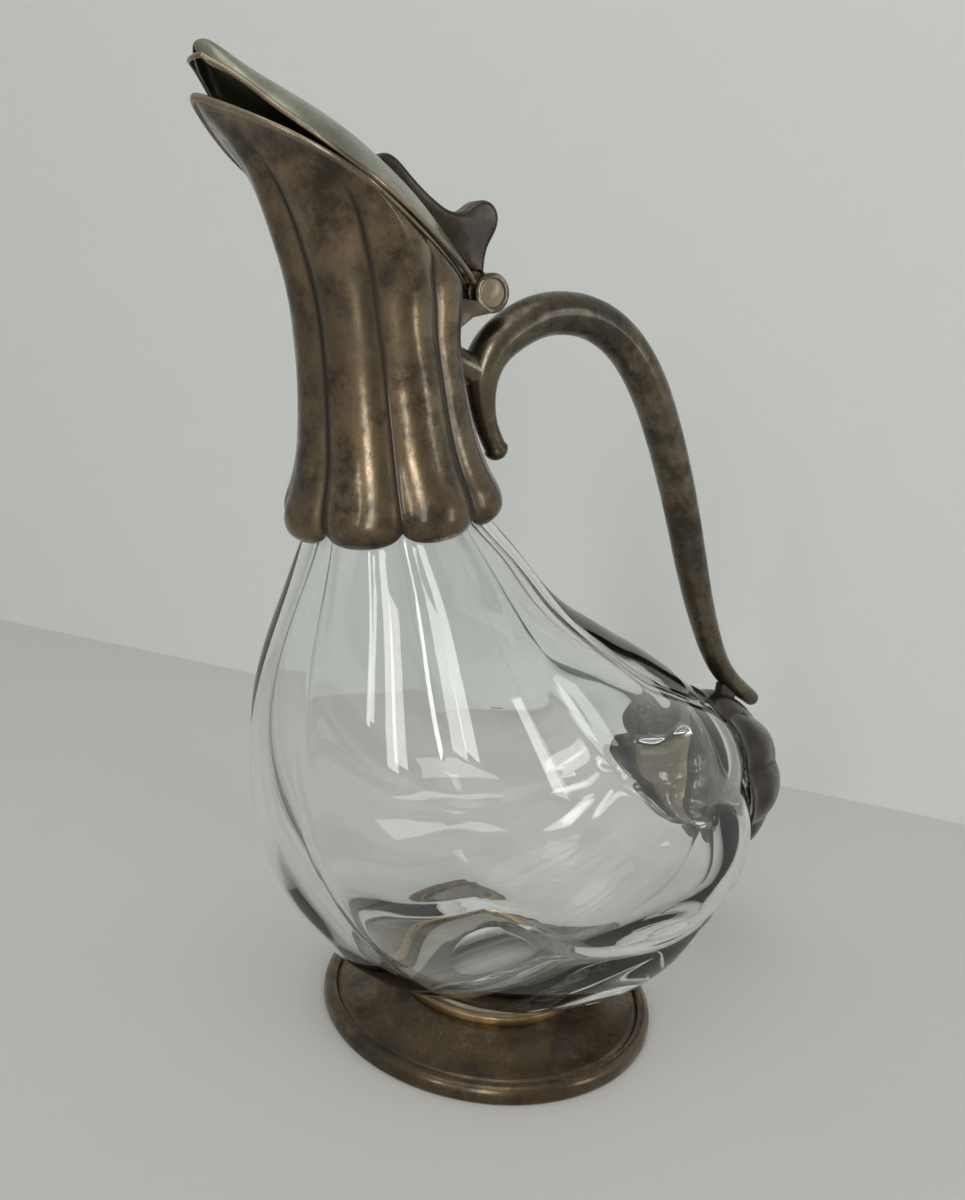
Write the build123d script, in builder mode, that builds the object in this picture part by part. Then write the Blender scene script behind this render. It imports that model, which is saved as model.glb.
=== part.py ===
# Novelty decanter: a fluted glass body that lies back from its neck to a blunt tail,
# on a spun metal foot, with a lobed metal collar and spout, a hinged lid, a tapered
# handle and a petal cap over the tail. Millimetres, Z up, the spout points along -X.
import os
from math import atan2, cos, degrees, hypot, radians, sin, sqrt

from build123d import *

os.makedirs("parts", exist_ok=True)

# Foot
foot_radius = 52.5
foot_rim_height = 5.2
foot_rim_width = 4.1
foot_plate_z = 9.4
foot_plate_radius = 30.0
foot_hole_radius = 15.0
foot_sheet = 1.2
foot_cement = 0.6
seat_ring_height = 2.4
seat_ring_width = 2.2

# Neck: a leaning axis that the glass neck, the cement and the collar share
neck_lean = 12.0
neck_base_x = -51.3
neck_base_z = 160.6
glass_neck_radius = 22.6
glass_mouth_radius = 15.6
glass_mouth_height = 42.0
cement_bottom = 7.0
cement_top = 30.0
collar_drop = 5.0
collar_flare = 29.8
collar_waist = 21.5
collar_waist_height = 36.0
collar_wall = 1.2
collar_crease = 0.12

# Spout rim and lid share the plane through these two points
rim_front_x = -110.2
rim_front_z = 248.6
rim_back_x = -37.2
rim_back_z = 216.5
rim_half_width = 26.4
rim_widest = 0.44
rim_nose = 0.2
rim_heel = 0.28
rim_band_width = 2.0
rim_band_height = 0.7
rim_overhang = 0.4
lid_wall = 1.0
lid_band_width = 1.8
lid_band_height = 0.8
lid_band_overhang = 0.3

# Hinge
hinge_x = -31.0
hinge_z = 217.0
barrel_radius = 5.1
barrel_half_length = 6.6
centre_half_length = 2.9
knuckle_gap = 0.15
pin_radius = 2.2
pin_fit = 0.02
running_fit = 0.08
plug_radius = 3.7
plug_depth = 1.4

# Tail axis, shared by the glass tail, the cement and the petal cap
tail_x = 78.2
tail_z = 67.7
tail_rise = 5.0
cap_radius = 30.0
cap_depth = 29.4
cap_wall = 1.1
tail_bed = 0.7
tail_glass_radius = cap_radius - cap_wall - tail_bed
petal_crease = 0.07
petal_length = 3.5
tail_cement_from = 5.0
tail_cement_to = 13.0

# Glass body
body_crease = 0.075
glass_wall = 2.8
glass_floor = 4.2
glass_base_z = foot_plate_z + foot_cement
lobes = 8
least_crease = 0.006
bedding_gap = 0.08

# Handle
handle_radius = 5.95
handle_curl_radius = 3.5
handle_tip_radius = 2.7
pad_radius = 4.2
pad_root = 3.0
lower_pad_length = 7.0
lower_pad_width = 3.2
lower_pad_depth = 6.0
thumb_half_width = 3.2

# Rows between the neck and the tail: chest and belly point, back point, half width
body_rows = [
    ((-77.6, 135.7), (-14.7, 151.8), 32.0),
    ((-82.3, 116.0), (-3.0, 140.7), 41.0),
    ((-84.8, 94.5), (7.0, 133.2), 48.6),
    ((-80.8, 67.6), (15.5, 128.8), 54.8),
    ((-66.2, 39.8), (22.8, 125.3), 58.4),
    ((-39.4, 16.0), (29.5, 122.0), 59.8),
    ((-6.0, 4.6), (36.6, 118.8), 59.4),
    ((23.0, 4.4), (44.2, 115.0), 57.2),
    ((46.0, 11.4), (52.6, 110.6), 51.8),
    ((63.8, 23.0), (61.6, 105.2), 42.4),
]

# Lid from hinge to nose: x, lift of its edge over the rim plane, half width, crown height
lid_rows = [
    (-38.2, 1.8, 8.6, 221.9),
    (-42.0, 1.8, 12.0, 226.2),
    (-50.0, 1.8, 17.0, 234.4),
    (-60.0, 1.8, 21.8, 242.3),
    (-71.0, 1.9, 25.0, 247.8),
    (-80.0, 1.9, 25.9, 250.9),
    (-87.0, 2.3, 24.3, 252.9),
    (-92.5, 3.2, 20.8, 254.4),
    (-97.0, 4.6, 16.0, 255.9),
    (-101.0, 6.2, 11.6, 257.6),
    (-105.0, 7.6, 8.2, 259.4),
    (-108.0, 8.6, 5.0, 260.4),
    (-109.6, 9.2, 2.4, 260.5),
]

# Thumb piece from the lid's crown, over its leaf tip and down: x and z from the hinge
thumb_top = [
    (-35.2, 28.0),
    (-31.0, 28.8),
    (-26.0, 25.3),
    (-21.6, 22.4),
    (-16.6, 19.8),
    (-11.6, 18.5),
    (-8.4, 19.4),
    (-6.0, 21.4),
    (-3.2, 22.7),
    (0.0, 22.0),
    (1.7, 19.6),
    (1.5, 16.0),
    (-0.4, 11.5),
]
thumb_foot = (-1.0, 0.4)
thumb_inside = [(-8.4, 4.2), (-21.6, 12.5)]

# Handle centre line from the curl at the neck to the tip on the cap: x, z, radius
handle_rows = [
    (-19.4, 177.2, handle_curl_radius),
    (-22.8, 183.0, handle_curl_radius),
    (-24.9, 189.0, 4.0),
    (-26.1, 195.2, 5.1),
    (-25.0, 201.5, 5.8),
    (-19.6, 208.2, handle_radius),
    (-11.4, 213.2, handle_radius),
    (-1.0, 215.3, handle_radius),
    (10.6, 213.9, handle_radius),
    (21.9, 208.0, handle_radius),
    (30.6, 199.6, handle_radius),
    (39.2, 187.4, 5.8),
    (47.1, 173.4, 5.7),
    (54.4, 158.6, 5.5),
    (60.9, 144.2, 5.25),
    (67.7, 130.0, 4.8),
    (74.6, 117.6, 4.3),
    (80.6, 108.9, 3.9),
    (87.6, 102.0, 3.5),
    (94.6, 97.3, 3.1),
    (101.2, 93.4, handle_tip_radius),
]


def neck_point(height, across=0.0):
    """A point on the neck axis, or beside it towards the back."""
    lean = radians(neck_lean)
    x = neck_base_x - height * sin(lean) + across * cos(lean)
    z = neck_base_z + height * cos(lean) + across * sin(lean)
    return (x, z)


def neck_row(height, radius, crease):
    front = neck_point(height, -radius)
    back = neck_point(height, radius)
    return (front, back, radius, crease, 0.0, 0.0, 0.5)


def tail_row(along, radius, crease):
    rise = radians(tail_rise)
    x = tail_x + along * cos(rise)
    z = tail_z + along * sin(rise)
    front = (x + radius * sin(rise), z - radius * cos(rise))
    back = (x - radius * sin(rise), z + radius * cos(rise))
    return (front, back, radius, crease, 0.0, 0.0, 0.5)


def rim_height(x):
    slope = (rim_front_z - rim_back_z) / (rim_front_x - rim_back_x)
    return rim_back_z + (x - rim_back_x) * slope


def rim_angle():
    return atan2(rim_front_z - rim_back_z, rim_back_x - rim_front_x)


def row_plane(front, back, widest):
    ox = front[0] + (back[0] - front[0]) * widest
    oz = front[1] + (back[1] - front[1]) * widest
    length = hypot(front[0] - ox, front[1] - oz)
    fx = (front[0] - ox) / length
    fz = (front[1] - oz) / length
    return Plane(origin=(ox, 0, oz), x_dir=(fx, 0, fz), z_dir=(-fz, 0, fx))


def lobed_points(front, back, half, crease, nose, heel, widest, inset):
    total = hypot(front[0] - back[0], front[1] - back[1])
    ahead = total * widest - inset
    behind = total * (1 - widest) - inset
    side = half - inset
    points = []
    for k in range(2 * lobes):
        angle = radians(180.0 * k / lobes)
        c = cos(angle)
        share = 1.0 if k % 2 == 0 else 1.0 - max(crease, least_crease)
        reach = ahead if c > 0 else behind
        narrow = 1.0 - nose * max(0.0, c) - heel * max(0.0, -c)
        points.append((c * reach * share, sin(angle) * side * share * narrow))
    return points


def lobed_face(row, inset=0.0):
    """A closed ring of eight arcs that meet in creases."""
    front, back, half, crease, nose, heel, widest = row
    points = lobed_points(front, back, half, crease, nose, heel, widest, inset)
    count = len(points)
    with BuildSketch(row_plane(front, back, widest)) as face:
        with BuildLine():
            for k in range(lobes):
                start = points[(2 * k - 1) % count]
                crown = points[2 * k]
                end = points[(2 * k + 1) % count]
                ThreePointArc(start, crown, end)
        make_face()
    return face.sketch


def lobed_loft(rows, inset=0.0):
    with BuildPart() as body:
        for row in rows:
            add(lobed_face(row, inset))
        loft()
    return body.part


def full_row(entry):
    front, back, half = entry
    return (front, back, half, body_crease, 0.0, 0.0, 0.5)


# Glass body: one sweep of flutes from the mouth, down the chest, to the tail
def glass_rows():
    rows = [
        neck_row(glass_mouth_height, glass_mouth_radius, 0.0),
        neck_row(cement_top, glass_mouth_radius + 0.4, 0.01),
        neck_row(cement_bottom + 8.0, glass_mouth_radius + 1.6, 0.02),
        neck_row(cement_bottom, glass_mouth_radius + 4.0, 0.04),
        neck_row(-1.0, glass_neck_radius + 0.4, 0.06),
    ]
    rows += [full_row(entry) for entry in body_rows]
    rows += [
        tail_row(0.0, tail_glass_radius, petal_crease),
        tail_row(8.0, tail_glass_radius * 0.94, petal_crease),
        tail_row(15.0, tail_glass_radius * 0.80, petal_crease),
        tail_row(20.0, tail_glass_radius * 0.56, petal_crease),
        tail_row(22.5, tail_glass_radius * 0.30, 0.04),
    ]
    return rows


def inner_row(entry):
    """A body row moved in by the wall, and up where the glass stands on its floor."""
    front, back, half = entry
    length = hypot(front[0] - back[0], front[1] - back[1])
    ux = (back[0] - front[0]) / length
    uz = (back[1] - front[1]) / length
    lift = max(glass_wall, (glass_base_z + glass_floor - front[1]) / max(uz, 0.2))
    inner_front = (front[0] + ux * lift, front[1] + uz * lift)
    inner_back = (back[0] - ux * glass_wall, back[1] - uz * glass_wall)
    return (inner_front, inner_back, half - glass_wall, body_crease * 0.8, 0.0, 0.0, 0.5)


def cavity_solid():
    """The inside follows the flutes, a little shallower than they are outside."""
    wall = glass_wall
    rows = [
        neck_row(glass_mouth_height + 2.0, glass_mouth_radius - wall, 0.0),
        neck_row(cement_top, glass_mouth_radius + 0.4 - wall, 0.01),
        neck_row(cement_bottom + 8.0, glass_mouth_radius + 1.4 - wall, 0.02),
        neck_row(cement_bottom, glass_mouth_radius + 3.8 - wall, 0.03),
        neck_row(-1.0, glass_neck_radius - wall, 0.05),
    ]
    rows += [inner_row(entry) for entry in body_rows]
    rows.append(tail_row(-3.0, tail_glass_radius - wall, petal_crease))
    rows.append(tail_row(3.0, tail_glass_radius * 0.78, petal_crease))
    rows.append(tail_row(8.0, tail_glass_radius * 0.52, 0.04))
    rows.append(tail_row(10.5, tail_glass_radius * 0.20, 0.0))
    return lobed_loft(rows)


def floor_block(top):
    """Everything below a level, for cutting the glass flat where it stands."""
    with BuildPart() as block:
        with Locations((0, 0, top)):
            Box(240, 160, 60, align=(Align.CENTER, Align.CENTER, Align.MAX))
    return block.part


glass_outer = lobed_loft(glass_rows())
glass_room = lobed_loft(glass_rows(), inset=-bedding_gap)

with BuildPart() as glass_body:
    add(glass_outer)
    add(floor_block(glass_base_z), mode=Mode.SUBTRACT)
    add(cavity_solid(), mode=Mode.SUBTRACT)
glass_body.part.label = "glass_body"
export_step(glass_body.part, "parts/glass_body.step")


# Foot: a spun shell with a rolled rim, an open flat plate and a seat ring on it
def foot_profile(rise):
    """Half section of the upper or the lower skin, from the plate to the rim."""
    inner = foot_radius - foot_rim_width
    return [
        (foot_plate_radius, foot_plate_z + rise),
        (foot_plate_radius + 8.5, foot_rim_height + 1.0 + rise),
        (inner - 0.05, foot_rim_height - 1.6 + rise),
    ]


with BuildPart() as foot_shell:
    with BuildSketch(Plane.XZ):
        with BuildLine():
            top = foot_profile(0.0)
            low = foot_profile(-foot_sheet)
            Line((foot_hole_radius, low[0][1]), (foot_hole_radius, top[0][1]))
            Line((foot_hole_radius, top[0][1]), top[0])
            ThreePointArc(*top)
            Line(top[2], low[2])
            ThreePointArc(low[2], low[1], low[0])
            Line(low[0], (foot_hole_radius, low[0][1]))
        make_face()
    revolve(axis=Axis.Z)
foot_shell.part.label = "foot_shell"
export_step(foot_shell.part, "parts/foot_shell.step")

with BuildPart() as foot_rim:
    with BuildSketch(Plane.XZ):
        with BuildLine():
            inner = foot_radius - foot_rim_width
            shoulder = foot_rim_height - 1.0
            Polyline((inner, shoulder), (inner, 0), (foot_radius - 0.7, 0), (foot_radius, 0.7))
            Line((foot_radius, 0.7), (foot_radius, foot_rim_height - 2.4))
            ThreePointArc(
                (foot_radius, foot_rim_height - 2.4),
                (foot_radius - 1.6, foot_rim_height - 0.1),
                (inner, shoulder),
            )
        make_face()
    revolve(axis=Axis.Z)
foot_rim.part.label = "foot_rim"
export_step(foot_rim.part, "parts/foot_rim.step")

with BuildPart() as foot_seat_ring:
    with BuildSketch(Plane.XY.offset(foot_plate_z)):
        Circle(foot_plate_radius)
        Circle(foot_plate_radius - seat_ring_width, mode=Mode.SUBTRACT)
    extrude(amount=seat_ring_height)
    add(glass_room, mode=Mode.SUBTRACT)
foot_seat_ring.part.label = "foot_seat_ring"
export_step(foot_seat_ring.part, "parts/foot_seat_ring.step")

with BuildPart() as foot_cement_pad:
    with BuildSketch(Plane.XY.offset(foot_plate_z)):
        Circle(foot_plate_radius - seat_ring_width - 3.0)
        Circle(foot_hole_radius, mode=Mode.SUBTRACT)
    extrude(amount=foot_cement)
foot_cement_pad.part.label = "foot_cement_pad"
export_step(foot_cement_pad.part, "parts/foot_cement_pad.step")


# Collar and spout: eight lobes at the neck that fade into a smooth beak
# Spout from the waist up: front point, back point, half width, crease, nose, heel
spout_rows = [
    ((-80.6, 203.0), (-38.2, 206.0), 22.0, 0.12, 0.03, 0.0),
    ((-84.6, 215.0), (-38.0, 210.5), 22.8, 0.11, 0.06, 0.04),
    ((-90.0, 227.5), (-37.8, 213.3), 24.0, 0.085, 0.10, 0.12),
    ((-97.6, 238.6), (-37.5, 215.2), 25.3, 0.05, 0.15, 0.20),
]


def spout_row(front, back, half, crease, nose, heel):
    return (front, back, half, crease, nose, heel, rim_widest + 0.03)


def rim_row():
    front = (rim_front_x, rim_front_z)
    back = (rim_back_x, rim_back_z)
    return (front, back, rim_half_width, 0.0, rim_nose, rim_heel, rim_widest)


def collar_rows():
    rows = [
        neck_row(-collar_drop, collar_flare - 2.6, collar_crease),
        neck_row(-collar_drop + 2.0, collar_flare - 0.8, collar_crease),
        neck_row(0.5, collar_flare, collar_crease),
        neck_row(7.0, collar_flare - 1.9, collar_crease),
        neck_row(14.0, collar_flare - 4.7, collar_crease),
        neck_row(24.0, collar_waist + 1.3, collar_crease),
        neck_row(collar_waist_height, collar_waist, collar_crease),
    ]
    rows += [spout_row(*entry) for entry in spout_rows]
    rows.append(rim_row())
    return rows


def past_ends(rows):
    """The same rows with one more ring beyond each end, for a clean cut."""
    first = neck_row(-collar_drop - 2.0, collar_flare - 4.4, collar_crease)
    before = rows[-2]
    last = rows[-1]
    ahead = 0.12
    front = tuple(last[0][i] + (last[0][i] - before[0][i]) * ahead for i in (0, 1))
    back = tuple(last[1][i] + (last[1][i] - before[1][i]) * ahead for i in (0, 1))
    return [first] + rows + [(front, back) + last[2:]]


def petal_notch(span, rise, wide, deep):
    """The gap between two rounded lobe ends, as a flat outline with its tip up."""
    with BuildLine() as outline:
        ThreePointArc((0, 0), (span * 0.30, -rise * 0.62), (span, -rise))
        Polyline((span, -rise), (wide, -deep), (-wide, -deep), (-span, -rise))
        ThreePointArc((-span, -rise), (-span * 0.30, -rise * 0.62), (0, 0))
    return outline.line


collar_outer = lobed_loft(collar_rows())
collar_inner = lobed_loft(past_ends(collar_rows()), inset=collar_wall)


def notch_cutters(origin, along, back, petal, reach):
    """One cutter in each groove, pointing outwards from the axis."""
    along = Vector(*along)
    back = Vector(*back)
    beside = along.cross(back)
    with BuildPart() as cutters:
        for k in range(lobes):
            turn = radians(180.0 / lobes + 360.0 * k / lobes)
            out = back * cos(turn) + beside * sin(turn)
            side = Plane(origin=origin, x_dir=along.cross(out), z_dir=out)
            with BuildSketch(side):
                add(petal)
                make_face()
            extrude(amount=reach)
    return cutters.part


def collar_notches():
    lean = radians(neck_lean)
    origin = (neck_base_x, 0, neck_base_z)
    along = (-sin(lean), 0, cos(lean))
    back = (cos(lean), 0, sin(lean))
    petal = petal_notch(9.5, collar_drop + 0.2, 9.5, collar_drop + 6.0)
    return notch_cutters(origin, along, back, petal, collar_flare + 8.0)


with BuildPart() as neck_collar:
    add(collar_outer)
    add(collar_inner, mode=Mode.SUBTRACT)
    add(collar_notches(), mode=Mode.SUBTRACT)
    add(glass_room, mode=Mode.SUBTRACT)
neck_collar.part.label = "neck_collar"
export_step(neck_collar.part, "parts/neck_collar.step")

rim_up = (sin(rim_angle()), 0, cos(rim_angle()))

with BuildPart() as rim_opening:
    add(lobed_face(rim_row(), inset=rim_band_width - rim_overhang))
    extrude(amount=rim_band_height * 2, dir=rim_up, both=True)

with BuildPart() as spout_rim:
    add(lobed_face(rim_row(), inset=-rim_overhang))
    extrude(amount=rim_band_height, dir=rim_up)
    add(rim_opening.part, mode=Mode.SUBTRACT)
spout_rim.part.label = "spout_rim"
export_step(spout_rim.part, "parts/spout_rim.step")

with BuildPart() as neck_cement:
    add(lobed_loft(past_ends(collar_rows()), inset=collar_wall + bedding_gap))
    with Locations(Location((neck_base_x, 0, neck_base_z), (0, -neck_lean, 0))):
        with Locations((0, 0, cement_bottom)):
            Cylinder(
                60,
                cement_top - cement_bottom,
                align=(Align.CENTER, Align.CENTER, Align.MIN),
                mode=Mode.INTERSECT,
            )
    add(glass_room, mode=Mode.SUBTRACT)
neck_cement.part.label = "neck_cement"
export_step(neck_cement.part, "parts/neck_cement.step")


# Hinge: two outer knuckles on the collar, one on the lid, a pin and two end plugs
def barrel(y_from, y_to, radius):
    with BuildPart() as rod:
        with BuildSketch(Plane.XZ.offset(-y_from)):
            with Locations((hinge_x, hinge_z)):
                Circle(radius)
        extrude(amount=-(y_to - y_from))
    return rod.part


def both_sides(y_from, y_to, radius):
    with BuildPart() as pair:
        add(barrel(y_from, y_to, radius))
        mirror(about=Plane.XZ)
    return pair.part


knuckle_from = centre_half_length + knuckle_gap

with BuildPart() as collar_knuckles:
    add(both_sides(knuckle_from, barrel_half_length, barrel_radius))
    with BuildSketch(Plane.XZ.offset(-barrel_half_length)):
        Polygon(
            (rim_back_x - 4.0, hinge_z - 2.5),
            (rim_back_x - 4.0, hinge_z - barrel_radius - 6.0),
            (hinge_x - barrel_radius, hinge_z - barrel_radius - 1.6),
            (hinge_x, hinge_z - barrel_radius),
            (hinge_x, hinge_z - 2.5),
            align=None,
        )
    extrude(amount=2 * barrel_half_length)
    gap = barrel_radius + 0.35
    add(barrel(-knuckle_from, knuckle_from, gap), mode=Mode.SUBTRACT)
    add(both_sides(knuckle_from, barrel_half_length, barrel_radius))
    add(barrel(-barrel_half_length, barrel_half_length, pin_radius + pin_fit), mode=Mode.SUBTRACT)
    add(
        both_sides(barrel_half_length - plug_depth, barrel_half_length + 1, plug_radius + pin_fit),
        mode=Mode.SUBTRACT,
    )
    add(collar_outer, mode=Mode.SUBTRACT)
    add(spout_rim.part, mode=Mode.SUBTRACT)
collar_knuckles.part.label = "collar_knuckles"
export_step(collar_knuckles.part, "parts/collar_knuckles.step")

with BuildPart() as hinge_pin:
    reach = barrel_half_length - plug_depth - 0.05
    add(barrel(-reach, reach, pin_radius))
hinge_pin.part.label = "hinge_pin"
export_step(hinge_pin.part, "parts/hinge_pin.step")

with BuildPart() as hinge_plug_near:
    add(barrel(-barrel_half_length, plug_depth - barrel_half_length, plug_radius))
hinge_plug_near.part.label = "hinge_plug_near"
export_step(hinge_plug_near.part, "parts/hinge_plug_near.step")

with BuildPart() as hinge_plug_far:
    add(barrel(barrel_half_length - plug_depth, barrel_half_length, plug_radius))
hinge_plug_far.part.label = "hinge_plug_far"
export_step(hinge_plug_far.part, "parts/hinge_plug_far.step")


# Lid: a low dome with an upturned nose, over the rim
def lid_edge(row):
    x, lift, half, crown = row
    return rim_height(x) + lift / cos(rim_angle())


def arch_face(x, half, edge, crown, skirt=0.0):
    with BuildSketch(Plane(origin=(x, 0, 0), x_dir=(0, 1, 0), z_dir=(1, 0, 0))) as face:
        with BuildLine():
            ThreePointArc((-half, edge), (0, crown), (half, edge))
            if skirt > 0:
                Polyline((half, edge), (half, edge - skirt), (-half, edge - skirt), (-half, edge))
            else:
                Line((half, edge), (-half, edge))
        make_face()
    return face.sketch


with BuildPart() as lid_solid:
    for row in lid_rows:
        add(arch_face(row[0], row[2], lid_edge(row), row[3]))
    loft()

with BuildPart() as lid_hollow:
    for row in lid_rows[1:-1]:
        x, lift, half, crown = row
        add(arch_face(x, half - lid_wall, lid_edge(row), crown - lid_wall * 1.1, skirt=4.0))
    loft()

with BuildPart() as lid_shell:
    add(lid_solid.part)
    add(lid_hollow.part, mode=Mode.SUBTRACT)
lid_shell.part.label = "lid_shell"
export_step(lid_shell.part, "parts/lid_shell.step")


def band_face(x, half, top, low):
    with BuildSketch(Plane(origin=(x, 0, 0), x_dir=(0, 1, 0), z_dir=(1, 0, 0))) as face:
        with BuildLine():
            Polyline((-half, low), (half, low), (half, top), (-half, top), close=True)
        make_face()
    return face.sketch


with BuildPart() as lid_opening:
    for row in lid_rows[1:-1]:
        edge = lid_edge(row)
        half = row[2] + lid_band_overhang - lid_band_width
        add(band_face(row[0], half, edge + 1.0, edge - lid_band_height - 1.0))
    loft()

with BuildPart() as lid_rim:
    for row in lid_rows:
        edge = lid_edge(row)
        half = row[2] + lid_band_overhang
        add(band_face(row[0], half, edge - 0.03, edge - lid_band_height))
    loft()
    add(lid_opening.part, mode=Mode.SUBTRACT)
lid_rim.part.label = "lid_rim"
export_step(lid_rim.part, "parts/lid_rim.step")

with BuildPart() as thumb_piece:
    with BuildSketch(Plane.XZ.offset(-thumb_half_width)):
        with BuildLine():
            top = [(hinge_x + x, hinge_z + z) for x, z in thumb_top]
            foot = (hinge_x + thumb_foot[0], hinge_z + barrel_radius + thumb_foot[1])
            Spline(*top, foot)
            within = [(hinge_x + x, hinge_z + z) for x, z in thumb_inside]
            Polyline(foot, *within, top[0])
        make_face()
    extrude(amount=2 * thumb_half_width)
    add(lid_solid.part, mode=Mode.SUBTRACT)
    add(barrel(-20, 20, barrel_radius + 0.35), mode=Mode.SUBTRACT)
thumb_piece.part.label = "thumb_piece"
export_step(thumb_piece.part, "parts/thumb_piece.step")

with BuildPart() as lid_knuckle:
    add(barrel(-centre_half_length, centre_half_length, barrel_radius))
    with BuildSketch(Plane.XZ.offset(-centre_half_length)):
        Polygon(
            (hinge_x, hinge_z + barrel_radius),
            (hinge_x - barrel_radius + 0.4, hinge_z + 1.5),
            (lid_rows[0][0] - 0.3, lid_edge(lid_rows[0]) + 0.2),
            (lid_rows[0][0] - 0.3, lid_rows[0][3] - 0.3),
            (hinge_x - 3.0, hinge_z + barrel_radius + 0.3),
            align=None,
        )
    extrude(amount=2 * centre_half_length)
    add(barrel(-20, 20, pin_radius + running_fit), mode=Mode.SUBTRACT)
    add(lid_solid.part, mode=Mode.SUBTRACT)
    add(thumb_piece.part, mode=Mode.SUBTRACT)
    add(lid_rim.part, mode=Mode.SUBTRACT)
lid_knuckle.part.label = "lid_knuckle"
export_step(lid_knuckle.part, "parts/lid_knuckle.step")


# Tail: a petal cap over the blunt glass end, bedded in cement
def cap_rows(grow=0.0):
    rows = [tail_row(-petal_length, cap_radius + 2.6 + grow, petal_crease)]
    for share in (0.0, 0.22, 0.44, 0.64, 0.80, 0.92, 0.985):
        along = cap_depth * share
        radius = cap_radius * sqrt(1 - share * share)
        rows.append(tail_row(along, radius + grow, petal_crease))
    return rows


cap_outer = lobed_loft(cap_rows())


def cap_hollow(inset):
    rows = [tail_row(-petal_length - 3.0, cap_radius + 4.8 - inset, petal_crease)]
    rows.append(tail_row(-petal_length, cap_radius + 2.6 - inset, petal_crease))
    inner_depth = cap_depth - inset
    inner_radius = cap_radius - inset
    for share in (0.0, 0.22, 0.44, 0.64, 0.80, 0.92, 0.98):
        along = inner_depth * share
        radius = inner_radius * sqrt(1 - share * share)
        rows.append(tail_row(along, radius, petal_crease))
    return lobed_loft(rows)


def cap_notches():
    rise = radians(tail_rise)
    origin = (tail_x, 0, tail_z)
    along = (cos(rise), 0, sin(rise))
    back = (-sin(rise), 0, cos(rise))
    petal = petal_notch(11.0, petal_length + 0.2, 11.0, petal_length + 8.0)
    return notch_cutters(origin, along, back, petal, cap_radius + 12.0)


with BuildPart() as tail_cap:
    add(cap_outer)
    add(cap_hollow(cap_wall), mode=Mode.SUBTRACT)
    add(cap_notches(), mode=Mode.SUBTRACT)
tail_cap.part.label = "tail_cap"
export_step(tail_cap.part, "parts/tail_cap.step")

with BuildPart() as tail_cement:
    add(cap_hollow(cap_wall + bedding_gap))
    with Locations(Location((tail_x, 0, tail_z), (0, 90 - tail_rise, 0))):
        with Locations((0, 0, tail_cement_from)):
            Cylinder(
                60,
                tail_cement_to - tail_cement_from,
                align=(Align.CENTER, Align.CENTER, Align.MIN),
                mode=Mode.INTERSECT,
            )
    add(glass_room, mode=Mode.SUBTRACT)
tail_cement.part.label = "tail_cement"
export_step(tail_cement.part, "parts/tail_cement.step")


# Handle: a tapered bow from the neck to the cap, with a bead at its curled end
def handle_plane(k):
    last = len(handle_rows) - 1
    before = handle_rows[max(0, k - 1)]
    after = handle_rows[min(last, k + 1)]
    dx = after[0] - before[0]
    dz = after[1] - before[1]
    x, z, radius = handle_rows[k]
    return Plane(origin=(x, 0, z), x_dir=(0, 1, 0), z_dir=(dx, 0, dz))


with BuildPart() as handle:
    for k, (x, z, radius) in enumerate(handle_rows):
        with BuildSketch(handle_plane(k)):
            Circle(radius)
    loft()
    for end in (handle_rows[0], handle_rows[-1]):
        with Locations((end[0], 0, end[1])):
            Sphere(end[2])
handle.part.label = "handle"
export_step(handle.part, "parts/handle.step")

with BuildPart() as handle_upper_pad:
    x, z = neck_point(collar_waist_height, collar_waist)
    across = handle_rows[3][0] - x
    up = handle_rows[3][1] + 1.2 - z
    length = hypot(across, up) + pad_root
    aim = Plane(origin=(x - pad_root, 0, z), x_dir=(0, 1, 0), z_dir=(across, 0, up))
    with BuildSketch(aim):
        Circle(pad_radius)
    extrude(amount=length)
    add(collar_outer, mode=Mode.SUBTRACT)
    add(handle.part, mode=Mode.SUBTRACT)
handle_upper_pad.part.label = "handle_upper_pad"
export_step(handle_upper_pad.part, "parts/handle_upper_pad.step")

with BuildPart() as handle_lower_pad:
    x, z, radius = handle_rows[-3]
    with Locations((x, 0, z - radius - 1.5)):
        Box(lower_pad_length, lower_pad_width, lower_pad_depth)
    add(cap_outer, mode=Mode.SUBTRACT)
    add(handle.part, mode=Mode.SUBTRACT)
handle_lower_pad.part.label = "handle_lower_pad"
export_step(handle_lower_pad.part, "parts/handle_lower_pad.step")

for piece in (
    glass_body, foot_shell, foot_rim, foot_seat_ring, foot_cement_pad, neck_collar,
    spout_rim, neck_cement, collar_knuckles, hinge_pin, hinge_plug_near, hinge_plug_far, lid_shell,
    lid_rim, thumb_piece, lid_knuckle, tail_cap, tail_cement, handle,
    handle_upper_pad, handle_lower_pad,
):
    box = piece.part.bounding_box()
    solids = len(piece.part.solids())
    print(piece.part.label, solids, "solids", round(piece.part.volume), "mm3", box.min, box.max)
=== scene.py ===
# %% [markdown]
# # A glass decanter with metal fittings
# This lesson dresses a CAD model of a novelty decanter: a fluted glass body that lies
# back from its neck like a resting duck, with tarnished silver-plated fittings. The CAD
# model is the fixed frame. Every piece made here sits where its CAD node is, and rides
# on the same body, so the lid still opens.

# %% Load the frame
import math

import bmesh
import bpy
import numpy as np
from mathutils import Matrix, Vector


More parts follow.
